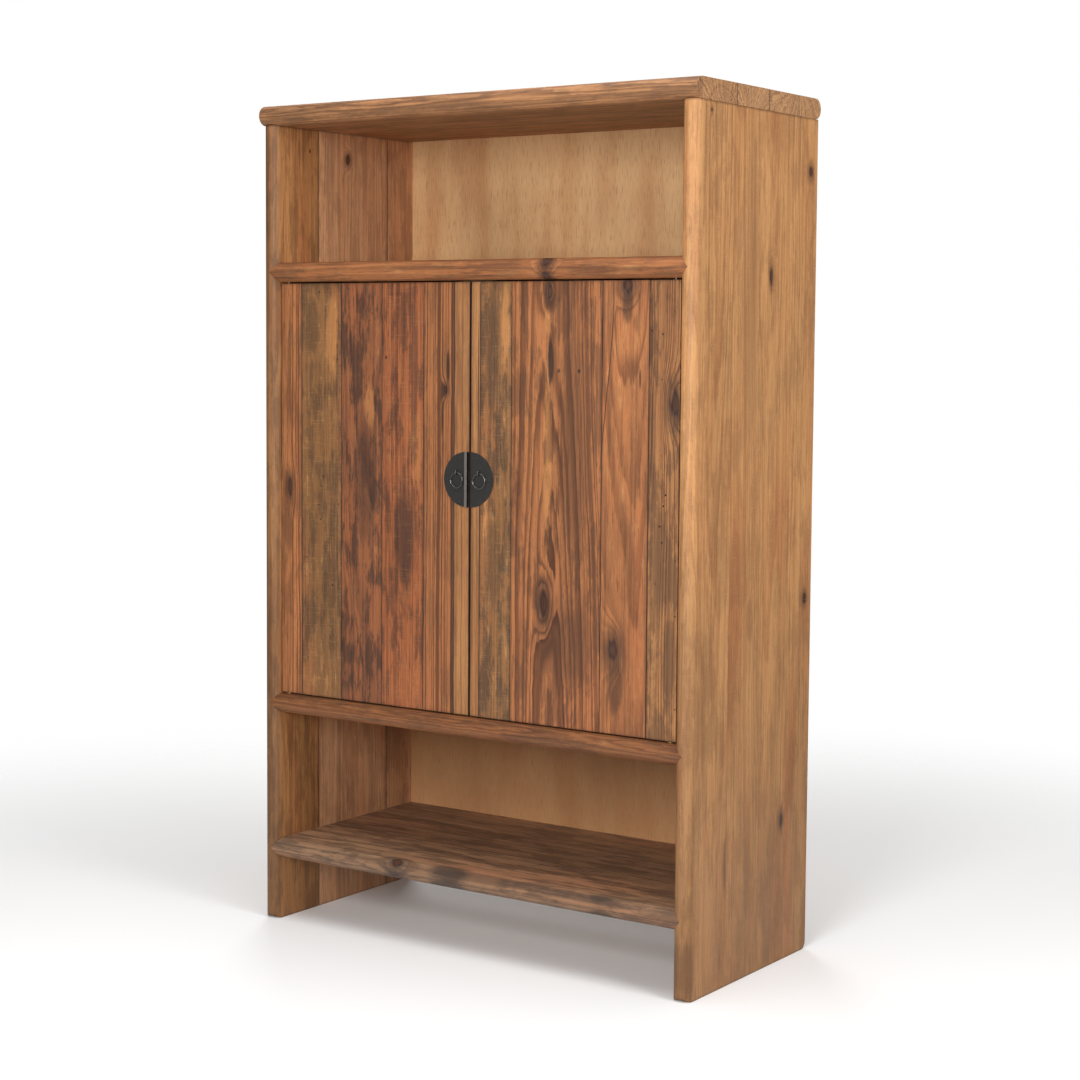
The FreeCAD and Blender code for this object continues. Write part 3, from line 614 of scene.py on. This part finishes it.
# %% Door boards
DOOR_BOARDS = {
    "left_door_board_1": dict(
        tone="amber", rings=5, pith=(90, 20), light=1.0, stain=0.35, bleach=0.2, free=-1,
        knots=[(-440, 878, 9, 2.6)], marks=[(-445, 800, 14, 60, 0.5)],
    ),
    "left_door_board_2": dict(
        tone="olive", rings=4, pith=(-30, 120), lean=(0.03, 0), line=0.5, holes=0.9, stain=0.5,
        bleach=0.4, saw=0.12, light=0.98, patches=[(-330, 1180, 16, 80, 0.4)],
        marks=[(-385, 1200, 18, 60, 0.5)],
    ),
    "left_door_board_3": dict(
        tone="umber", rings=6, pith=(20, 70), lean=(0.02, 0.03), line=0.6, stain=0.7, light=1.05,
        marks=[(-276, 1130, 1.4, 75, 0.9), (-250, 900, 30, 120, 0.5)],
        patches=[(-236, 1045, 14, 46, 0.35)],
    ),
    "left_door_board_4": dict(
        tone="rust", rings=6, pith=(-120, 40), line=0.6, stain=0.55, light=0.95, saw=0.08,
        marks=[(-196, 1138, 2.4, 4, 1.0), (-150, 800, 28, 110, 0.75), (-128, 1120, 9, 160, 0.5)],
        patches=[(-122, 960, 14, 80, 0.3)],
    ),
    "left_door_board_5": dict(
        tone="amber", rings=8, pith=(110, 30), wave=3, line=1.4, stain=0.25, light=0.85,
        knots=[(-54, 1078, 6, 1.6)], marks=[(-47, 1122, 5, 40, 0.95), (-60, 1030, 3.5, 46, 0.8)],
    ),
    "left_door_board_6": dict(
        tone="tan", rings=6, pith=(80, 10), wave=2, line=0.7, stain=0.15, light=0.74,
    ),
    "right_door_board_1": dict(
        tone="tan", rings=6, pith=(-60, 5), wave=2, line=0.5, stain=0.1, light=0.84,
        marks=[(24, 1060, 1.6, 170, 0.9)],
    ),
    "right_door_board_2": dict(
        tone="olive", rings=7, pith=(80, 60), line=0.5, stain=0.65, bleach=0.5, light=1.1, saw=0.1,
        patches=[(86, 1190, 10, 90, 0.5), (40, 850, 8, 60, 0.5)],
        marks=[(55, 1150, 16, 130, 0.6), (60, 760, 20, 90, 0.4)],
    ),
    "right_door_board_3": dict(
        tone="amber", rings=8, pith=(-20, 50), lean=(0.02, -0.03), wave=4, line=1.1, stain=0.45,
        light=0.95, knots=[(184, 1261, 9, 2.2), (176, 690, 11, 3.0)],
        marks=[
            (187, 1135, 7, 50, 0.95), (243, 1000, 42, 250, 0.45), (249, 1118, 4, 5, 1.0),
            (205, 1118, 4, 5, 0.8), (240, 620, 50, 90, 0.5),
        ],
        patches=[(182, 960, 10, 190, 0.6), (180, 1205, 8, 26, 0.5)],
    ),
    "right_door_board_4": dict(
        tone="amber", rings=9, pith=(10, 60), lean=(0, 0.05), line=0.6, stain=0.2, bleach=0.3,
        light=0.95, knots=[(352, 1272, 14, 1.5), (326, 617, 15, 1.8)],
        marks=[(352, 1235, 13, 34, 0.7), (379, 1106, 3, 22, 0.8), (335, 560, 20, 60, 0.6)],
        cracks=[(298, 24, 930, 1240, 1.1)],
    ),
    "right_door_board_5": dict(
        tone="tan", rings=7, pith=(-90, 30), wave=6, line=1.3, holes=1.0, stain=0.55, light=0.74,
        free=1, knots=[(452, 1062, 14, 2.2)],
        marks=[(420, 780, 16, 120, 0.6), (445, 600, 14, 90, 0.6), (405, 1000, 3, 120, 0.7)],
    ),
}
for number, (node, look) in enumerate(DOOR_BOARDS.items(), start=1):
    board = plank(node, number)
    piece(f"{node}_plank", board, pine(node, seed=number * 7, **look), node)
print(len(DOOR_BOARDS), "door planks")

# %% [markdown]
# ## The case
# The sides, the top and the shelves have housings and pointed joints that the parts already hold, so each
# piece starts as a copy of its part. Its loose triangles are merged into flat faces and its edges eased.

# %% Case boards
CASE_BOARDS = {
    "left_side_front_board": dict(
        tone="tan", lie="side", rings=5, pith=(-20, 90), line=0.5, light=1.0, foot=0.22, free=-1,
        nose=0.4, blush=0.5, marks=[(-119, 1548, 3, 5, 1.0)],
    ),
    "left_side_middle_board": dict(
        tone="inner", lie="side", rings=6, pith=(30, 70), line=0.6, light=1.25, foot=0.2,
        knots=[(0, 1539, 9, 1.3)], stain=0.25,
    ),
    "left_side_rear_board": dict(
        tone="inner", lie="side", rings=7, pith=(90, 30), lean=(0.04, 0), line=0.7, light=1.25,
        foot=0.2, free=1,
    ),
    "right_side_front_board": dict(
        tone="honey", lie="side", rings=5, pith=(10, 60), lean=(0, 0.02), line=0.5, saw=0.14, foot=0.38,
        free=-1, nose=0.14, joint=0.15, blush=0.15, bleach=0.35, stain=0.3,
        knots=[(-83, 224, 12, 3.0), (-176, 1575, 3.5, 1.2)],
        marks=[(-61, 358, 9, 60, 0.4), (-215, 60, 14, 60, 0.5)],
    ),
    "right_side_middle_board": dict(
        tone="honey", lie="side", rings=6, pith=(30, 60), lean=(0.01, 0.02), line=0.5, saw=0.14,
        foot=0.38, joint=0.15, blush=0.5, bleach=0.25, stain=0.25,
        knots=[(48, 1293, 7, 3.0), (117, 271, 9, 1.9)],
        marks=[(-14, 665, 13, 50, 0.4), (-30, 1250, 34, 300, 0.28)],
    ),
    "right_side_rear_board": dict(
        tone="honey", lie="side", rings=5, pith=(-70, 40), line=0.5, saw=0.14, foot=0.4, free=1,
        joint=0.15, blush=0.5, bleach=0.3, stain=0.3, knots=[(196, 1492, 9, 1.5), (196, 686, 9, 1.3)],
    ),
    "top_front_board": dict(
        tone="floury", lie="flat", rings=3, pith=(20, -50), line=1.1, ends=0, light=1.1, free=-1,
        nose=0.24, bleach=0.3, blush=0.05,
    ),
    "top_middle_board": dict(
        tone="dusty", lie="flat", rings=5, pith=(0, -40), line=0.6, ends=0, light=1.2,
    ),
    "top_rear_board": dict(
        tone="dusty", lie="flat", rings=5, pith=(20, 60), line=0.6, ends=0, light=1.2, free=1,
    ),
    "upper_shelf_front_board": dict(
        tone="amber", lie="flat", rings=3, pith=(20, -60), line=1.0, light=0.94, free=-1, bleach=0.4,
        blush=0.05, knots=[(-215, 182, 9, 1.3)],
    ),
    "upper_shelf_rear_board": dict(
        tone="amber", lie="flat", rings=5, pith=(-20, -60), line=0.6, free=1,
    ),
    "cupboard_floor_front_board": dict(
        tone="amber", lie="flat", rings=3, pith=(10, -50), line=0.9, light=0.62, free=-1, bleach=0.3,
        blush=0.1,
    ),
    "cupboard_floor_rear_board": dict(
        tone="amber", lie="flat", rings=5, pith=(10, 60), line=0.6, free=1,
    ),
    "bottom_shelf_front_board": dict(
        tone="brown", lie="flat", rings=6, pith=(10, -60), line=0.8, stain=0.5, light=1.5, free=-1,
        nose=0.5, bleach=0, knots=[(-215, -160, 9, 1.8)],
        marks=[(-215, -32, 16, 46, 0.8), (-215, 314, 7, 40, 0.8)],
    ),
    "bottom_shelf_rear_board": dict(
        tone="brown", lie="flat", rings=6, pith=(-10, -60), line=0.7, stain=0.5, light=1.35, free=1,
    ),
    "inner_shelf_front_board": dict(tone="tan", lie="flat", rings=5, pith=(0, -60), line=0.6, free=-1),
    "inner_shelf_rear_board": dict(tone="tan", lie="flat", rings=5, pith=(10, -50), line=0.6, free=1),
}
for side in ("left", "right"):
    for level in ("lower", "upper"):
        CASE_BOARDS[f"{side}_door_{level}_batten"] = dict(
            tone="tan", lie="flat", rings=5, pith=(10, 50), line=0.6, joint=0)
for number, (node, look) in enumerate(CASE_BOARDS.items(), start=1):
    piece(f"{node}_eased", eased_copy(node), pine(node, seed=100 + number * 5, **look), node)
print(len(CASE_BOARDS), "case boards")


# %% [markdown]
# ## Plywood, metal and plastic
# The back is a thin plywood sheet: a peeled veneer has soft wide figure and fine short pores. The fittings
# are lacquered iron, zinc plated steel, turned brass and one moulded catch. A black coat is never one even
# black: it clouds a little. The cover bar's front face gets a painted highlight, a pale grey line.


# %% Plywood, metal and plastic
def plywood(node):
    low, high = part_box(node)
    f = Finish("stained_plywood")
    f.shader.inputs["Specular IOR Level"].default_value = 0.3
    point = f.node("ShaderNodeTexCoord").outputs["Object"]
    turn = Matrix(LIES["door"]).transposed().to_euler()
    place = {"Vector": point, "Location": (low + high) / 2, "Rotation": turn, "Scale": (MM, MM, MM)}
    sheet = f.node("ShaderNodeMapping", {"vector_type": "TEXTURE"}, place).outputs[0]
    up, _, _ = f.split(sheet)
    figure, _ = f.cloud(sheet, 60, 5, 4, 3)
    pores, _ = f.cloud(sheet, 1.8, 16, 4, 9, 0.6)
    wide, _ = f.cloud(sheet, 260, 1.3, 3, 14)
    colour = f.mix(f.rise(figure, 0.35, 0.7), tint(212, 170, 122), tint(192, 144, 98))
    colour = f.mix(f.rise(pores, 0.52, 0.66) * 0.5, colour, tint(128, 90, 60))
    # towards the bottom the sheet turns warmer in tone, and it is painted darker as painted shade of the
    # lower bay
    colour = f.mix((1 - f.rise(up, -600, 500)) * 0.5, colour, tint(206, 142, 92))
    shade = (wide - 0.5) * 0.6 + f.rise(up, -700, 600) * 0.26 + 0.78
    colour = f.mix(1.0, colour, f.grey(shade), "MULTIPLY")
    return f.wear_in(colour, 0.6 - figure * 0.1, pores, 0.3 * MM, 0.4)


def coated(name, colour, rough, metal, mottle=0.15, rubbed=None):
    """A smooth, slightly uneven coat; the last argument is (y in millimetres, colour) of a painted highlight
    in front.
    """
    f = Finish(name, Metallic=metal)
    point = f.node("ShaderNodeTexCoord").outputs["Object"]
    in_millimetres = {"Vector": point, "Scale": (MM, MM, MM)}
    place = f.node("ShaderNodeMapping", {"vector_type": "TEXTURE"}, in_millimetres).outputs[0]
    uneven, _ = f.cloud(place, 9, 1, 4, 2)
    fine, _ = f.cloud(place, 0.9, 1, 2, 8)
    colour = f.mix(1.0, colour, f.grey((uneven - 0.5) * (2 * mottle) + 1.0), "MULTIPLY")
    if rubbed:
        _, depth, _ = f.split(place)
        share = (1 - f.rise(depth + (uneven - 0.5) * 0.6, rubbed[0], rubbed[0] + 0.9)) * (fine * 0.4 + 0.6)
        colour = f.mix(share, colour, rubbed[1])
    return f.wear_in(colour, rough + (uneven - 0.5) * 0.2, fine, 0.1 * MM, 0.12)


black_iron = coated("black_iron", tint(41, 40, 38), 0.4, 0.0)
ring_iron = coated("ring_iron", tint(96, 94, 90), 0.25, 0.85)
bar_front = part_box("cover_bar")[0].y / MM
# painted highlight: a pale grey line down the front face of the cover bar
bar_iron = coated("highlit_iron", tint(30, 29, 28), 0.35, 0.2, rubbed=(bar_front + 0.2, tint(116, 112, 105)))
steel = coated("zinc_plated_steel", tint(176, 175, 170), 0.36, 1.0, mottle=0.25)
dull_steel = coated("oiled_steel", tint(84, 80, 74), 0.5, 1.0)
brass = coated("turned_brass", tint(150, 118, 70), 0.42, 1.0, mottle=0.3)
moulded = coated("moulded_catch", tint(120, 92, 70), 0.5, 0.0)
piece("back_panel_sheet", eased_copy("back_panel", 0.3 * MM, 1), plywood("back_panel"), "back_panel")
print("back sheet and", len(bpy.data.materials), "finishes so far")


# %% [markdown]
# ## Screws, pins and rings
# Turned fittings come off a lathe, so each is one outline spun about its own axis. The CAD part tells where
# each screw of a set stands: its mesh falls into loose islands, and an island's box is a screw's place.


# %% Turned fittings
def islands(node):
    """The low and high corner of every loose body in a part, from left to right."""
    shape = copy_of(node)
    left, found = set(shape.verts), []
    while left:
        group, edge = set(), [next(iter(left))]
        while edge:
            vert = edge.pop()
            if vert not in group:
                group.add(vert)
                edge += [e.other_vert(vert) for e in vert.link_edges]
        left -= group
        found.append([Vector([pick(v.co[i] for v in group) for i in range(3)]) for pick in (min, max)])
    shape.free()
    return sorted(found, key=lambda box: (box[0].x, box[0].z))


def lathe(shape, outline, start, along, steps=28):
    """Spin an outline of (radius, distance along the axis) points about a line from start."""
    square = along.orthogonal().normalized()
    points = [shape.verts.new(start + square * radius + along * distance) for radius, distance in outline]
    edges = [shape.edges.new(pair) for pair in zip(points, points[1:])]
    bmesh.ops.spin(
        shape,
        geom=points + edges,
        cent=start,
        axis=along,
        angle=math.tau,
        steps=steps,
        use_merge=True,
    )
    bmesh.ops.remove_doubles(shape, verts=shape.verts, dist=0.001 * MM)
    bmesh.ops.recalc_face_normals(shape, faces=shape.faces)


def screw_outline(head, length, recess):
    """A countersunk screw, from the floor of its recess out over the rim and in to the point."""
    shank = head * 0.47
    taper = head - shank
    top = [(0, recess), (head * 0.28, recess * 0.8), (head * 0.42, 0.0), (head * 0.93, 0.0)]
    return [*top, (head * 0.98, 0.04 * head), (shank, taper), (shank, length * 0.85), (0, length)]


def screws(node, along):
    """Every screw of a set, with a round recess for the driver."""
    shape = bmesh.new()
    axis = [abs(a) for a in along].index(1.0)
    for low, high in islands(node):
        size = high - low
        radius = (size.x + size.y + size.z - size[axis]) / 4
        start = (low + high) / 2 - along * (size[axis] / 2)
        lathe(shape, screw_outline(radius, size[axis], radius * 0.45), start, along)
    return shape


def ring_pull(node):
    """A wire ring, spun from a circle."""
    low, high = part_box(node)
    middle = (low + high) / 2
    wire = (high.y - low.y) / 2
    shape = bmesh.new()
    centre = middle + X * ((high.x - low.x) / 2 - wire)
    bmesh.ops.create_circle(shape, segments=14, radius=wire, matrix=Matrix.Translation(centre))
    bmesh.ops.spin(
        shape,
        geom=[*shape.verts, *shape.edges],
        cent=middle,
        axis=Y,
        angle=math.tau,
        steps=56,
        use_merge=True,
    )
    bmesh.ops.recalc_face_normals(shape, faces=shape.faces)
    return shape


print("the back panel has", len(islands("back_panel_screws")), "screws")

# %% [markdown]
# ## Both doors' fittings
# The doors carry the same fittings, left and right, so one loop makes both sets. Each pin's dome is a short
# outline in shares of the head's radius, so that it fits a pin of any size.

# %% Fittings on their doors
for side in ("left", "right"):
    for node in (f"{side}_batten_screws", f"{side}_strike_screw"):
        piece(f"{node}_turned", screws(node, -Y), steel, node)
    strike, plate, pin_set = f"{side}_strike_plate", f"{side}_escutcheon_plate", f"{side}_escutcheon_pins"
    piece(f"{strike}_eased", eased_copy(strike, 0.3 * MM), steel, strike)
    piece(f"{plate}_eased", eased_copy(plate, 0.35 * MM), black_iron, plate)
    pins = bmesh.new()
    for low, high in islands(pin_set):
        head, start = (high.x - low.x) / 2, Vector(((low.x + high.x) / 2, low.y, (low.z + high.z) / 2))
        dome = [(0, 0), (0.45, 0.03), (0.8, 0.14), (1, 0.4), (0.4, 0.4), (0.4, (high.y - low.y) / head)]
        lathe(pins, [(head * r, head * a) for r, a in [*dome, (0, dome[-1][1])]], start, Y, 20)
    piece(f"{side}_pins_domed", pins, black_iron, pin_set)
    piece(f"{side}_ring_spun", ring_pull(f"{side}_ring_pull"), ring_iron, f"{side}_ring_pull")
piece("back_screws_turned", screws("back_panel_screws", -Y), steel, "back_panel_screws")
piece("cover_bar_eased", eased_copy("cover_bar", 0.6 * MM, 3), bar_iron, "cover_bar")
piece("catch_housing_eased", eased_copy("catch_housing", 0.8 * MM, 3), moulded, "catch_housing")
print("turned screws, domed pins, rings, plates and catch")

# %% [markdown]
# ## Parts that need no new shape
# Pivots, bushes, magnets and dowels are plain turned or cut bodies, and little of them shows. Their shape is
# right as it is, so they stay, and only their material slots get a finish.

# %% What stays as the CAD made it
KEPT = {
    "left_ring_staple": ring_iron,
    "right_ring_staple": ring_iron,
    "left_door_pivots": dull_steel,
    "right_door_pivots": dull_steel,
    "catch_magnets": steel,
    "catch_screw": steel,
    "shelf_supports": steel,
    "pivot_bushes": brass,
    "thrust_washers": brass,
    "top_dowels": pine("top_dowels", "tan", rings=4, pith=(20, 10)),
}
for node, finish in KEPT.items():
    for slot in frame["nodes"][node].material_slots:
        slot.material = finish
print(len(KEPT), "parts kept with a new finish")

# %% [markdown]
# ## Floor, light and camera
# Furniture is shown in soft light from a large window or a soft box, on a pale floor that runs on behind.
# The floor is a disc that fades out into a white world, which hides its rim without a curved backdrop. The
# world looks white but lights the wood only a little, so that the soft boxes give the shape its shading.

# %% Studio
FLOOR_RADIUS = 4
FADE_FROM, FADE_TO = 1.0, 2.6
AMBIENT = 0.22
floor_shape = bmesh.new()
bmesh.ops.create_circle(floor_shape, cap_ends=True, segments=96, radius=FLOOR_RADIUS)
floor_mesh = bpy.data.meshes.new("studio_floor")
floor_shape.to_mesh(floor_mesh)
floor_shape.free()
floor = bpy.data.objects.new("studio_floor", floor_mesh)
scene.collection.objects.link(floor)
floor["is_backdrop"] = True
paper = Finish("pale_paper", Roughness=0.9)
paper.shader.inputs["Base Color"].default_value = (0.93, 0.93, 0.93, 1)
spot = paper.node("ShaderNodeTexCoord").outputs["Object"]
reach = paper.node("ShaderNodeVectorMath", {"operation": "LENGTH"}, {0: spot}).outputs["Value"]
paper.tree.links.new((1 - paper.rise(reach, FADE_FROM, FADE_TO)).socket, paper.shader.inputs["Alpha"])
floor_mesh.materials.append(paper.material)

scene.view_settings.view_transform = "Standard"
scene.world = bpy.data.worlds.new("studio")
scene.world.use_nodes = True
sky = scene.world.node_tree
backdrop = sky.nodes["Background"]
backdrop.inputs["Color"].default_value = (1, 1, 1, 1)
seen = sky.nodes.new("ShaderNodeLightPath")
share = sky.nodes.new("ShaderNodeMapRange")
share.inputs["To Min"].default_value = AMBIENT
sky.links.new(seen.outputs["Is Camera Ray"], share.inputs["Value"])
sky.links.new(share.outputs["Result"], backdrop.inputs["Strength"])


def soft_box(name, where, aim, width, power):
    """A square soft box at a place, turned to face a point."""
    lamp = bpy.data.lights.new(name, "AREA")
    lamp.size, lamp.energy = width, power
    thing = bpy.data.objects.new(name, lamp)
    thing.location = where
    thing.rotation_euler = (Vector(aim) - Vector(where)).to_track_quat("-Z", "Y").to_euler()
    scene.collection.objects.link(thing)


soft_box("front", (0.9, -3.2, 1.6), (0, 0, 1.25), 1.2, 84)
soft_box("right", (3.3, -0.7, 2.1), (0.4, 0, 1.1), 1.4, 55)
soft_box("overhead", (0.3, -0.6, 3.6), (0.2, -0.3, 0), 2.4, 60)
soft_box("behind", (-2.6, 2.9, 2.0), (0, 0, 0.9), 1.6, 60)
print(len(bpy.data.lights), "soft boxes,", sum(lamp.energy for lamp in bpy.data.lights), "W")

# %% [markdown]
# ## Camera
# A long lens from a little way off keeps the case's uprights nearly parallel. The camera is turned first and
# rolled after, about its own line of sight, because a roll before the turn would tip the whole room.

# %% Camera
FOCAL_LENGTH = 72.57
SHIFT_UP = -0.037
LOOK_DOWN, TURN_LEFT, ROLL = (math.radians(angle) for angle in (4.296, 34.591, 0.41))
STAND = Vector((2.4281, -3.4896, 1.18))
lens = bpy.data.cameras.new("camera")
lens.lens = FOCAL_LENGTH
lens.shift_y = SHIFT_UP
camera = bpy.data.objects.new("camera", lens)
turn = Euler((math.pi / 2 - LOOK_DOWN, 0, TURN_LEFT)).to_matrix()
roll = Matrix.Rotation(ROLL, 3, "Z")
camera.matrix_world = Matrix.Translation(STAND) @ (turn @ roll).to_4x4()
scene.collection.objects.link(camera)
scene.camera = camera
print("camera", round(STAND.length, 2), "m from the foot of the case")

# %% [markdown]
# ## The last measure
# Eased edges and turned screws may only take material away. The two boxes, of the parts and of the finished
# pieces, are written side by side, so that a piece that grew too large would be seen at once.

# %% Sizes
visual_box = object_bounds()
print("cad", [list(c) for c in cad_box], "visual", [list(c) for c in visual_box])
